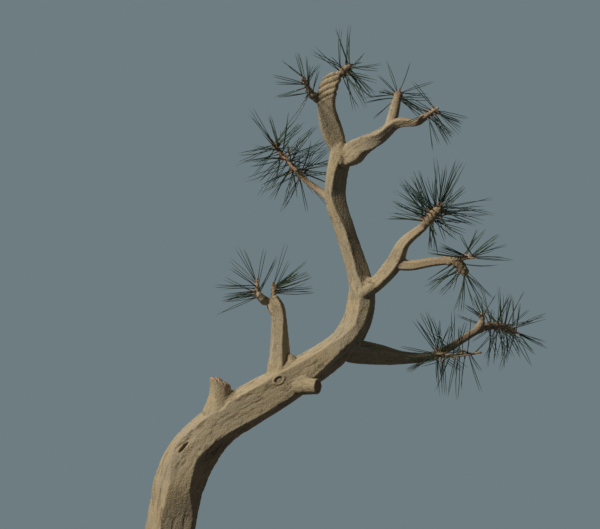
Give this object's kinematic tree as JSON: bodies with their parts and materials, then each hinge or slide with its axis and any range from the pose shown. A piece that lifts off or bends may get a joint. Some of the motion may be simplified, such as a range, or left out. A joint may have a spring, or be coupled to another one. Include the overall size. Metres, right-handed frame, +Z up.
{
  "type": "potted pine bonsai",
  "caption": "Leaning pine bonsai in a shallow rectangular pot: bent trunk, rising boughs and sparse starburst tufts of needles.",
  "frame": {"origin": "centre of the pot's flat underside, on the surface it stands on", "axes": "+Z up; +X to the right as the picture shows it, the way the tree leans, along the pot's long sides; +Y away from the picture's viewer"},
  "size_m": [0.5979, 0.318, 0.7628],
  "materials": {
    "clay": "unglazed brown stoneware, matt with a slight sheen on worn edges",
    "soil": "coarse granular bonsai grit, dry on top",
    "bark": "tan plated bark, matt",
    "needles": "dark green needles with a faint waxy sheen"
  },
  "bodies": {
    "root": {"pot": "clay", "soil": "soil", "trunk": "bark", "left_lower_bough": "bark", "right_lower_bough": "bark", "right_upper_bough": "bark", "left_upper_bough": "bark", "crown_left_bough": "bark", "crown_right_bough": "bark", "right_middle_bough": "bark", "crown_right_spur": "bark", "lower_right_spur": "bark", "crown_left_needles": "needles", "crown_top_needles": "needles", "crown_right_needles": "needles", "crown_spur_needles": "needles", "right_upper_needles": "needles", "right_middle_needles": "needles", "right_lower_needles": "needles", "lower_spur_needles": "needles", "lower_twig_needles": "needles", "left_lower_needles": "needles", "left_upper_needles": "needles"}
  },
  "joints": []
}
